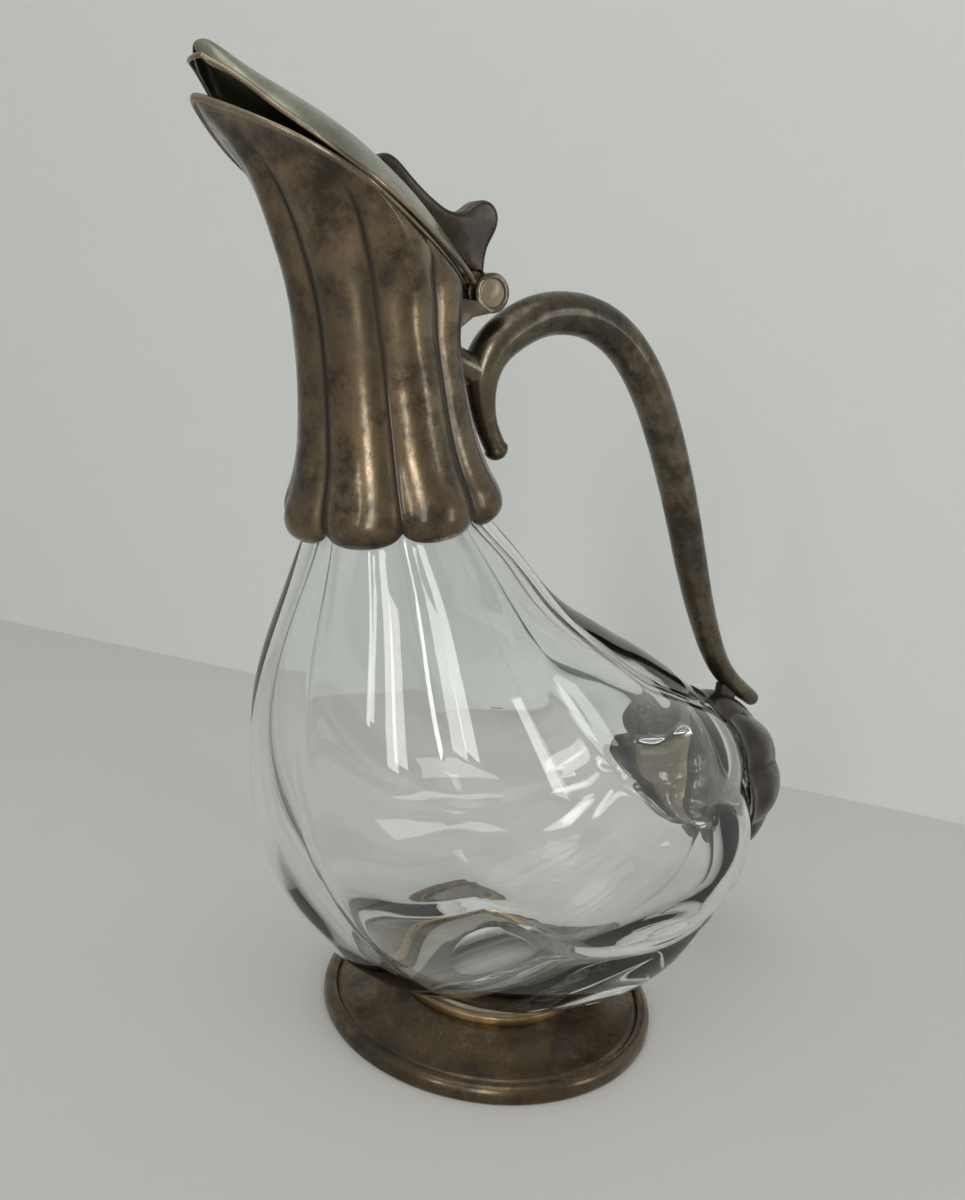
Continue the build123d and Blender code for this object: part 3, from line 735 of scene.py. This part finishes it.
def rolled_lip(outer_ring, next_ring, inner_ring):
    """Rings of a half round between the inner and the outer skin."""
    middle = (outer_ring + inner_ring) / 2
    half = (outer_ring - inner_ring) / 2
    away = outer_ring - next_ring
    away /= np.linalg.norm(away, axis=1, keepdims=True)
    size = np.linalg.norm(half, axis=1, keepdims=True)
    rings = []
    for turn in np.linspace(math.pi, 0, LIP_STEPS + 2)[1:-1]:
        rings.append(middle + half * math.cos(turn) + away * size * math.sin(turn))
    return np.array(rings)


def scalloped_shell(name, rows, depth, thick, ring_count, poles=None, soft=0.12):
    """A sheet shell whose scallops reach back by a depth; a pole closes each far end."""
    outer_skin, mask = scalloped_skin(rows, depth, ring_count, 0.0, soft)
    inner_skin, _ = scalloped_skin(rows, depth, ring_count // 2, thick, soft)
    lip = rolled_lip(outer_skin[0], outer_skin[1], inner_skin[0])
    rings = np.concatenate([inner_skin[::-1], lip, outer_skin])
    plain = np.zeros((len(inner_skin) + len(lip), len(angles)))
    # The outer skin carries the mask of painted crease shade; the inner skin and the lip get none.
    return shell(name, rings, {"crease_shade": np.concatenate([plain, mask])}, poles)


# %% Collar
around = LOBES * 26
angles = np.arange(around) * math.tau / around
rim_front = (-109.6, 248.3)
rim_back = (-37.2, 216.5)
rim_slope = math.atan2(rim_front[1] - rim_back[1], rim_back[0] - rim_front[0])
collar_rows = [neck_row(height, radius, crease) for height, radius, crease in (
    (-5.0, 26.9, 0.11), (-3.0, 29.0, 0.11), (0.5, 29.7, 0.11), (7.0, 27.3, 0.10),
    (14.0, 24.8, 0.095), (24.0, 22.9, 0.09), (36.0, 21.7, 0.09))]
collar_rows += [
    row((-82.0, 203.0), (-38.2, 206.0), 21.9, 0.09, 0.03, 0.03, 0.47),
    row((-85.8, 215.0), (-38.0, 210.5), 22.3, 0.095, 0.12, 0.04, 0.47),
    row((-91.4, 227.5), (-37.8, 213.3), 23.7, 0.09, 0.22, 0.12, 0.47),
    row((-98.2, 238.6), (-37.5, 215.2), 25.3, 0.055, 0.42, 0.20, 0.47),
    row(rim_front, rim_back, 26.2, 0.0, 0.56, 0.28, 0.44),
]
collar = scalloped_shell("lobed_collar", collar_rows, depth=5.0, thick=1.2, ring_count=150, soft=0.09)
dress(collar, "vessel", "neck_collar", collar_silver)

# %% [markdown]
# ## Round wires and the handle
# The bead round the spout, the bead under the lid and the bow handle are all one shape
# swept along a line, so one Geometry Nodes tree makes them. The line's radius tapers
# the handle, and a profile that is wider than high makes the flat beads.

# %% Sweep tree
sweep = bpy.data.node_groups.new("sweep", "GeometryNodeTree")
sweep_inputs = {}
for label, kind, value in (
    ("Line", "NodeSocketGeometry", None),
    ("Points along", "NodeSocketInt", 200),
    ("Sides", "NodeSocketInt", 24),
    ("Wide", "NodeSocketFloat", 1.0),
    ("High", "NodeSocketFloat", 1.0),
    ("Finish", "NodeSocketMaterial", None),
):
    socket = sweep.interface.new_socket(label, in_out="INPUT", socket_type=kind)
    if value is not None:
        socket.default_value = value
    sweep_inputs[label] = socket.identifier
sweep.interface.new_socket("Piece", in_out="OUTPUT", socket_type="NodeSocketGeometry")
given = sweep.nodes.new("NodeGroupInput")
dense = sweep.nodes.new("GeometryNodeResampleCurve")
profile = sweep.nodes.new("GeometryNodeCurvePrimitiveCircle")
profile.inputs["Radius"].default_value = 1.0
squash = sweep.nodes.new("GeometryNodeTransform")
sizes = sweep.nodes.new("ShaderNodeCombineXYZ")
along = sweep.nodes.new("GeometryNodeCurveToMesh")
along.inputs["Fill Caps"].default_value = True
radius = sweep.nodes.new("GeometryNodeInputRadius")
smooth = sweep.nodes.new("GeometryNodeSetShadeSmooth")
real = sweep.nodes.new("GeometryNodeRealizeInstances")
finish = sweep.nodes.new("GeometryNodeSetMaterial")
result = sweep.nodes.new("NodeGroupOutput")
for source, target in (
    (given.outputs["Line"], dense.inputs["Curve"]),
    (given.outputs["Points along"], dense.inputs["Count"]),
    (dense.outputs["Curve"], along.inputs["Curve"]),
    (given.outputs["Sides"], profile.inputs["Resolution"]),
    (given.outputs["High"], sizes.inputs["X"]),
    (given.outputs["Wide"], sizes.inputs["Y"]),
    (sizes.outputs["Vector"], squash.inputs["Scale"]),
    (profile.outputs["Curve"], squash.inputs["Geometry"]),
    (squash.outputs["Geometry"], along.inputs["Profile Curve"]),
    (radius.outputs["Radius"], along.inputs["Scale"]),
    (along.outputs["Mesh"], smooth.inputs["Geometry"]),
    (smooth.outputs["Geometry"], real.inputs["Geometry"]),
    (real.outputs["Geometry"], finish.inputs["Geometry"]),
    (given.outputs["Finish"], finish.inputs["Material"]),
    (finish.outputs["Geometry"], result.inputs["Piece"]),
):
    sweep.links.new(source, target)


def mesh_of(carrier):
    """The mesh that a carrier curve makes; the carrier is then removed."""
    bpy.context.view_layer.update()
    seen = carrier.evaluated_get(bpy.context.evaluated_depsgraph_get())
    data = bpy.data.meshes.new_from_object(seen)
    bpy.data.objects.remove(carrier)
    return data


def swept(name, line, radii, material, cyclic=False, count=200, sides=24, wide=1.0, high=1.0):
    """A solid bar along a line of points in metres, made by the sweep tree."""
    curve = bpy.data.curves.new(name + "_line", "CURVE")
    curve.dimensions = "3D"
    spline = curve.splines.new("POLY")
    spline.points.add(len(line) - 1)
    for point, spot, size in zip(spline.points, line, radii):
        point.co = (*spot, 1)
        point.radius = size
    spline.use_cyclic_u = cyclic
    carrier = placed(name + "_line", curve)
    modifier = carrier.modifiers.new("sweep", "NODES")
    modifier.node_group = sweep
    for label, value in (
        ("Points along", count), ("Sides", sides), ("Wide", wide), ("High", high), ("Finish", material),
    ):
        modifier[sweep_inputs[label]] = value
    data = mesh_of(carrier)
    data.name = name
    return outward_piece(name, data)


# %% Bead round the spout
bead_inset = 0.45
bead_lift = 0.15
rim_row = np.array([collar_rows[-1]])[:, None, :] + np.zeros((1, len(angles), 1))
rim_ring = lobed_points(rim_row, angles[None, :], bead_inset)[0]
rim_up = np.array([math.sin(rim_slope), 0, math.cos(rim_slope)])
rim_ring = rim_ring + rim_up * bead_lift * MM
spout_bead = swept(
    "spout_bead", rim_ring, [MM] * len(rim_ring), rim_silver,
    cyclic=True, count=260, sides=14, wide=0.85, high=0.6,
)
dress(spout_bead, "vessel", "spout_rim", rim_silver)

# %% [markdown]
# ## The handle
# A cast bow, round in section, thickest over the top, with a curled end beside the
# collar, where a short stub carries it, and a thin tip that lies on the tail cap.

# %% Handle
handle_rows = np.array([
    (-20.4, 176.6, 3.1), (-24.2, 182.6, 3.2), (-26.6, 189.0, 3.9), (-27.6, 195.2, 4.9),
    (-26.0, 201.7, 5.6), (-20.0, 208.2, 5.9), (-11.4, 213.2, 5.95), (-1.0, 215.3, 5.95),
    (10.6, 213.9, 5.95), (21.9, 208.0, 5.95), (30.6, 199.6, 5.95), (39.2, 187.4, 5.8),
    (47.1, 173.4, 5.7), (54.4, 158.6, 5.5), (60.9, 144.2, 5.25), (67.7, 130.0, 4.8),
    (74.6, 117.6, 4.3), (80.6, 108.9, 3.9), (87.6, 102.0, 3.5), (94.6, 97.3, 3.1),
    (101.2, 93.4, 2.7),
])
walk = walk_along(handle_rows[:, :2])
bow = smooth_through(walk, handle_rows)


def rounded_bar(curve, length, first, last, count=180):
    """Points and radii of a bar whose two ends are half balls."""
    places = np.linspace(0, length, count)
    middle = curve(places)
    head = curve(np.array([0.0]))[0]
    head_next = curve(np.array([0.5]))[0]
    tail = curve(np.array([length]))[0]
    tail_before = curve(np.array([length - 0.5]))[0]
    parts = []
    for spot, other, size, order in ((head, head_next, first, -1), (tail, tail_before, last, 1)):
        away = spot[:2] - other[:2]
        away = away / np.linalg.norm(away)
        turns = np.linspace(0.04, math.pi / 2 - 0.02, 10)
        ball = [(*(spot[:2] + away * size * math.sin(t)), size * math.cos(t)) for t in turns]
        parts.append(ball if order > 0 else ball[::-1])
    return np.concatenate([parts[0], middle, parts[1]])


bar = rounded_bar(bow, walk[-1], 3.5, 2.7)
line = [(x * MM, 0, z * MM) for x, z, _ in bar]
handle = swept("bow_handle", line, [r * MM for r in bar[:, 2]], handle_silver, count=420, sides=40)
dress(handle, "vessel", "handle", handle_silver)

# %% [markdown]
# ## The lid
# The lid is a low dome of sheet, like a leaf, with its edges turned down and a nose
# that curls up. Each cross-section is a thin arch that is rounded at both feet. The
# arches shrink to a small round knob at the nose.

# %% Lid rows
lid_rows = np.array([
    (-38.2, 1.8, 8.6, 221.5), (-42.0, 1.8, 12.0, 225.2), (-50.0, 1.8, 17.0, 232.2),
    (-60.0, 1.8, 21.8, 239.4), (-71.0, 1.9, 25.0, 245.6), (-80.0, 1.9, 25.9, 249.7),
    (-87.0, 2.3, 24.3, 252.3), (-92.5, 3.2, 20.8, 254.2), (-97.0, 4.6, 16.0, 255.9),
    (-101.0, 6.2, 11.6, 257.6), (-105.0, 7.2, 7.6, 259.6), (-108.0, 7.6, 4.6, 260.5),
    (-109.6, 7.8, 3.6, 260.5),
])
lid_curve = smooth_through(-lid_rows[:, 0], lid_rows[:, 1:])


def rim_height(x):
    return rim_back[1] + (rim_back[0] - x) * math.tan(rim_slope)


def lid_place(x):
    lift, half, crown = lid_curve(np.array([-x]))[0]
    return rim_height(x) + lift / math.cos(rim_slope), half, crown


def arch(edge, half, crown, x, thick, count=44):
    """One ring: over the arch from foot to foot, round the foot, and back below."""
    rise = crown - edge
    bend = (half**2 + rise**2) / (2 * rise)
    centre = crown - bend
    reach = math.asin(min(1.0, half / bend))
    if rise > half:
        reach = math.pi - reach
    ring = []
    for turn in np.linspace(-reach, reach, count):
        ring.append((x, bend * math.sin(turn), centre + bend * math.cos(turn)))
    ring += rounded_foot(bend, centre, reach, x, thick, 1)
    inner = bend - thick
    for turn in np.linspace(reach, -reach, count):
        ring.append((x, inner * math.sin(turn), centre + inner * math.cos(turn)))
    ring += rounded_foot(bend, centre, reach, x, thick, -1)
    return ring


def rounded_foot(bend, centre, reach, x, thick, side):
    """Points round one foot of the arch, on the side +1 or -1."""
    middle = bend - thick / 2
    spots = []
    for turn in np.linspace(0.3, math.pi - 0.3, 4):
        off = side * math.cos(turn) * thick / 2
        down = thick / 2 * math.sin(turn)
        y = (middle + off) * math.sin(reach) + down * math.cos(reach)
        z = centre + (middle + off) * math.cos(reach) - down * math.sin(reach)
        spots.append((x, side * y, z))
    return spots


# %% Lid mesh
sheet = 1.0
nose_extra = 1.3
thicker_from = -99.0
thicker_over = 10.0
lid_back = -38.2
nose_start = -104.0
nose_length = 5.6
knob_start = -106.4
knob_length = 3.25
nose_turns = np.linspace(0.05, math.pi / 2, 22)
stations = [*np.linspace(lid_back, nose_start, 90), *(nose_start - nose_length * np.sin(nose_turns))]
lid_rings = []
for x in stations:
    edge, half, crown = lid_place(x)
    near_nose = min(1.0, max(0.0, (thicker_from - x) / thicker_over))
    thick = sheet + nose_extra * near_nose**2
    ring = np.array(arch(edge, half, crown, x, min(thick, 0.8 * half)))
    past = max(0.0, (knob_start - x) / knob_length)
    middle = np.array((x, 0.0, (edge + crown) / 2))
    lid_rings.append(middle + (ring - middle) * math.sqrt(max(0.0, 1 - past**2)))
lid_rings = np.array(lid_rings) * MM
size = lid_rings.shape[1]
lid_faces = []
for i in range(len(lid_rings) - 1):
    lid_faces += band_faces(i * size, (i + 1) * size, size)
lid_faces.append(tuple(range(size))[::-1])
last = (len(lid_rings) - 1) * size
lid_faces.append(tuple(range(last, last + size)))
lid = mesh_piece("leaf_lid", lid_rings.reshape(-1, 3), lid_faces)
dress(lid, "lid", "lid_shell", lid_silver)

# %% Bead under the lid
bead_back = -38.6
bead_nose = -108.9
bead_drop = 0.3
near_side = []
for x in np.linspace(bead_back, bead_nose, 110):
    edge, half, _ = lid_place(x)
    near_side.append((x, -half, edge - bead_drop))
nose_edge, nose_half, _ = lid_place(bead_nose)
round_nose = []
for turn in np.radians(np.linspace(-80, 80, 9)):
    x = bead_nose - nose_half * 0.22 * math.cos(turn)
    round_nose.append((x, nose_half * math.sin(turn), nose_edge - bead_drop))
far_side = [(x, -y, z) for x, y, z in reversed(near_side)]
edge_line = np.array(near_side + round_nose + far_side) * MM
lid_bead = swept(
    "lid_bead", edge_line, [MM] * len(edge_line), rim_silver,
    count=420, sides=12, wide=0.75, high=0.5,
)
dress(lid_bead, "lid", "lid_rim", rim_silver)

# %% [markdown]
# ## The thumb piece
# It is cut from thick metal like a leaf tip that curls back, with rounded edges. A
# flat filled curve with a bevel gives exactly that. The curve is drawn flat, made a
# mesh, and only then stood upright along the middle of the lid.

# %% Thumb piece
HINGE = (-31.0, 217.0)
THUMB_LIFT = 0.9
THUMB_HALF = 0.0019
THUMB_ROUND = 0.0013
thumb_top = np.array([
    (-36.2, 26.6), (-31.4, 28.6), (-26.0, 25.9), (-21.6, 22.8), (-16.6, 20.0),
    (-11.6, 18.5), (-8.4, 19.4), (-6.0, 21.4), (-3.2, 22.7), (0.0, 22.0),
    (1.7, 19.6), (1.5, 16.0), (-0.4, 11.5), (-0.8, 4.4),
])
walk = walk_along(thumb_top)
outline = smooth_through(walk, thumb_top)(np.linspace(0, walk[-1], 110))
underside = [(-3.5, 4.4)]
for x in (-8.4, -12.0, -16.0, -20.0, -24.0, -28.0, -32.0):
    crown = lid_place(x + HINGE[0])[2]
    underside.append((x, crown - HINGE[1] + THUMB_LIFT))
outline = np.concatenate([outline, underside])
flat = bpy.data.curves.new("thumb_outline", "CURVE")
flat.dimensions = "2D"
flat.fill_mode = "BOTH"
spline = flat.splines.new("POLY")
spline.points.add(len(outline) - 1)
for point, (x, z) in zip(spline.points, outline):
    point.co = ((x + HINGE[0]) * MM, (z + HINGE[1]) * MM, 0, 1)
spline.use_cyclic_u = True
flat.extrude = THUMB_HALF
flat.bevel_depth = THUMB_ROUND
flat.bevel_resolution = 4
flat.offset = -THUMB_ROUND
data = mesh_of(placed("thumb_outline", flat))
data.transform(Matrix(((1, 0, 0, 0), (0, 0, -1, 0), (0, 1, 0, 0), (0, 0, 0, 1))))
work = bmesh.new()
work.from_mesh(data)
bmesh.ops.remove_doubles(work, verts=work.verts, dist=0.00001)
work.to_mesh(data)
work.free()
data.shade_smooth()
thumb = outward_piece("curled_thumb_piece", data)
dress(thumb, "lid", "thumb_piece", thumb_silver)

# %% [markdown]
# ## The tail cap
# A second lobed cup, almost black, sits over the blunt end of the glass. It is made the
# same way as the collar, but its far end closes in a point.

# %% Tail cap
cap_radius = 30.0
cap_length = 29.4
cap_inside = 28.2
cap_crease = 0.075
cap_rows = [tail_row(-3.5, 32.6, cap_crease)]
for share in (0.0, 0.22, 0.44, 0.64, 0.80, 0.92, 0.985):
    cap_rows.append(tail_row(cap_length * share, cap_radius * math.sqrt(1 - share**2), cap_crease))
inner_tip = (tail_start + tail_way * cap_inside) * MM
outer_tip = (tail_start + tail_way * cap_length) * MM
cap = scalloped_shell(
    "petal_cap", cap_rows, depth=3.6, thick=1.1, ring_count=70, poles=[inner_tip, outer_tip],
)
dress(cap, "vessel", "tail_cap", cap_silver)

# %% [markdown]
# ## The foot
# The foot was spun on a lathe, so both of its pieces are turned profiles: a thick
# rounded rim, and a shell that sweeps up from a fine groove to the flat under the glass.

# %% Turned pieces
def turned(name, profile, count=240):
    """A closed profile of radius and height, in millimetres, turned round the Z axis."""
    profile = np.array(profile)
    turns = np.arange(count) * math.tau / count
    rings = []
    for r, z in profile:
        rings.append(np.stack([r * np.cos(turns), r * np.sin(turns), np.full(count, z)], axis=1))
    return shell(name, np.array(rings) * MM)


def curve_between(points, count):
    points = np.array(points, float)
    walk = walk_along(points)
    return [tuple(p) for p in smooth_through(walk, points)(np.linspace(0, walk[-1], count))]


rim_profile = [(48.45, 0.3), (48.8, 0.0), (51.6, 0.0), (52.2, 0.2), (52.5, 0.8)]
rim_profile += curve_between(
    [(52.5, 2.4), (52.2, 3.7), (51.3, 4.8), (50.2, 5.2), (49.2, 4.9), (48.5, 4.2)], 18)
foot_rim = turned("rolled_foot_rim", rim_profile)
dress(foot_rim, "vessel", "foot_rim", foot_silver)

upper_skin = curve_between([(30.0, 9.4), (34.0, 8.6), (38.5, 7.1), (43.0, 5.4), (46.6, 4.5)], 22)
upper_skin += [(47.2, 4.5), (47.5, 4.2), (47.8, 3.9), (48.35, 3.9)]
lower_skin = [(48.35, 2.6), (46.5, 2.9)]
lower_skin += curve_between([(44.0, 3.6), (38.5, 5.7), (34.0, 7.3), (30.0, 8.2)], 12)
foot_profile = [(15.0, 8.2), (15.0, 9.4), (29.0, 9.4)] + upper_skin + lower_skin
foot_shell = turned("spun_foot", foot_profile)
dress(foot_shell, "vessel", "foot_shell", foot_silver)

# %% [markdown]
# ## Small parts
# The knuckles, the end plugs and the seat ring keep the CAD shapes. A merged copy of
# each gets a small rounding on its edges, because no real edge is perfectly sharp and
# the rounding catches the light. What is left keeps its CAD mesh and gets a finish.

# %% Rounded copies
def rounded_copy(node_name, name, body, material, size):
    data = nodes[node_name].data.copy()
    work = bmesh.new()
    work.from_mesh(data)
    bmesh.ops.remove_doubles(work, verts=work.verts, dist=0.00002)
    bmesh.ops.dissolve_limit(work, angle_limit=math.radians(1.0), verts=work.verts, edges=work.edges)
    work.to_mesh(data)
    work.free()
    data.name = name
    data.shade_smooth()
    piece = placed(name, data)
    bevel = piece.modifiers.new("rounding", "BEVEL")
    bevel.width = size
    bevel.segments = 2
    bevel.limit_method = "ANGLE"
    bevel.angle_limit = math.radians(35)
    bevel.harden_normals = True
    dress(piece, body, node_name, material)


rounded_copy("collar_knuckles", "hinge_knuckles", "vessel", hinge_silver, 0.0004)
rounded_copy("lid_knuckle", "lid_hinge_knuckle", "lid", hinge_silver, 0.0004)
rounded_copy("hinge_plug_near", "near_plug", "vessel", plug_silver, 0.0003)
rounded_copy("hinge_plug_far", "far_plug", "vessel", plug_silver, 0.0003)
rounded_copy("foot_seat_ring", "seat_ring", "vessel", brass_ring, 0.0003)

# %% Remaining CAD nodes
finishes = {
    "neck_cement": bedding,
    "tail_cement": cap_lining,
    "foot_cement_pad": bedding,
    "hinge_pin": plug_silver,
    "handle_upper_pad": handle_silver,
    "handle_lower_pad": cap_silver,
}
for name, material in finishes.items():
    piece = nodes[name]
    piece.data.materials.clear()
    piece.data.materials.append(material)
